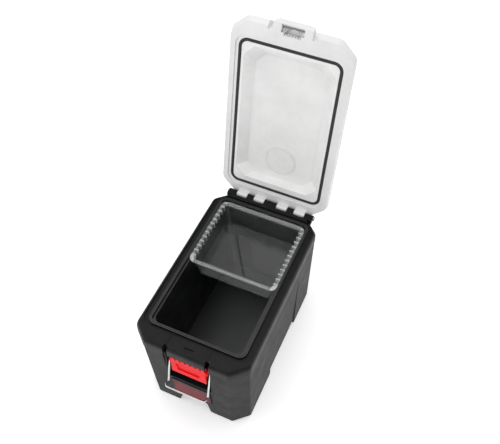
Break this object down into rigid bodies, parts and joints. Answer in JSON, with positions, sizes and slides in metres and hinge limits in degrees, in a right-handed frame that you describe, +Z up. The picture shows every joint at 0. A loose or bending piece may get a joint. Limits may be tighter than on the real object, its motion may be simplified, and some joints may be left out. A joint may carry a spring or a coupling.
{
  "type": "hard-sided cooler box with hinged lid",
  "caption": "Compact hard-sided cooler with a hinged insulated lid resting open, a red draw latch with a wire bail, a clear lift-out tray and a fold-down carry handle.",
  "frame": {"origin": "centre of the footprint on the floor, under the middle of the body", "axes": "+X to the right seen from the latch side, +Y back towards the hinge, +Z up"},
  "size_m": [0.243, 0.5532, 0.6424],
  "materials": {
    "textured_black": "fine moulded grain",
    "smooth_black": "satin",
    "liner_black": "satin",
    "foam": "closed-cell foam",
    "foot_black": "matte",
    "screw_steel": "bright",
    "chrome_wire": "polished",
    "lever_red": "satin gloss",
    "band_red": "satin",
    "lid_white": "fine moulded grain",
    "liner_white": "satin",
    "gasket_rubber": "matte",
    "grip_red": "soft matte",
    "clear_plastic": "clear"
  },
  "bodies": {
    "case_body": {"outer_shell": "textured_black", "top_collar": "smooth_black", "inner_liner": "liner_black", "body_foam": "foam", "feet": "foot_black", "foot_screws": "screw_steel", "latch_housing": "smooth_black", "lever_pin": "screw_steel", "name_plate": "smooth_black", "plate_band": "band_red", "hinge_pin": "screw_steel"},
    "latch_lever": {"latch_lever": "lever_red"},
    "wire_bail": {"wire_bail": "chrome_wire"},
    "lid": {"lid_shell": "lid_white", "lid_liner": "liner_white", "lid_foam": "foam", "lid_gasket": "gasket_rubber", "foam_fill_plug": "liner_white", "bottle_opener": "screw_steel", "opener_screws": "screw_steel", "handle_pins": "screw_steel"},
    "carry_handle": {"carry_handle": "smooth_black", "handle_grip": "grip_red"},
    "organizer_tray": {"organizer_tray": "clear_plastic"}
  },
  "joints": [
    {"name": "lid_hinge", "type": "hinge", "parent": "case_body", "child": "lid", "pos_m": [0, 0.205, 0.2385], "axis": [-1, 0, 0], "range_deg": [-99.75, 0]},
    {"name": "lever_pivot", "type": "hinge", "parent": "case_body", "child": "latch_lever", "pos_m": [0, -0.1885, 0.212], "axis": [-1, 0, 0], "range_deg": [0, 110]},
    {"name": "bail_pivot", "type": "hinge", "parent": "latch_lever", "child": "wire_bail", "pos_m": [0, -0.1845, 0.193], "axis": [1, 0, 0], "range_deg": [-143.5, 0]},
    {"name": "tray_lift", "type": "slide", "parent": "case_body", "child": "organizer_tray", "axis": [0, 0, 1], "range_m": [0, 0.28]},
    {"name": "handle_pivot", "type": "hinge", "parent": "lid", "child": "carry_handle", "pos_m": [0, 0.29244, 0.43148], "axis": [1, 0, 0], "range_deg": [0, 90]}
  ]
}
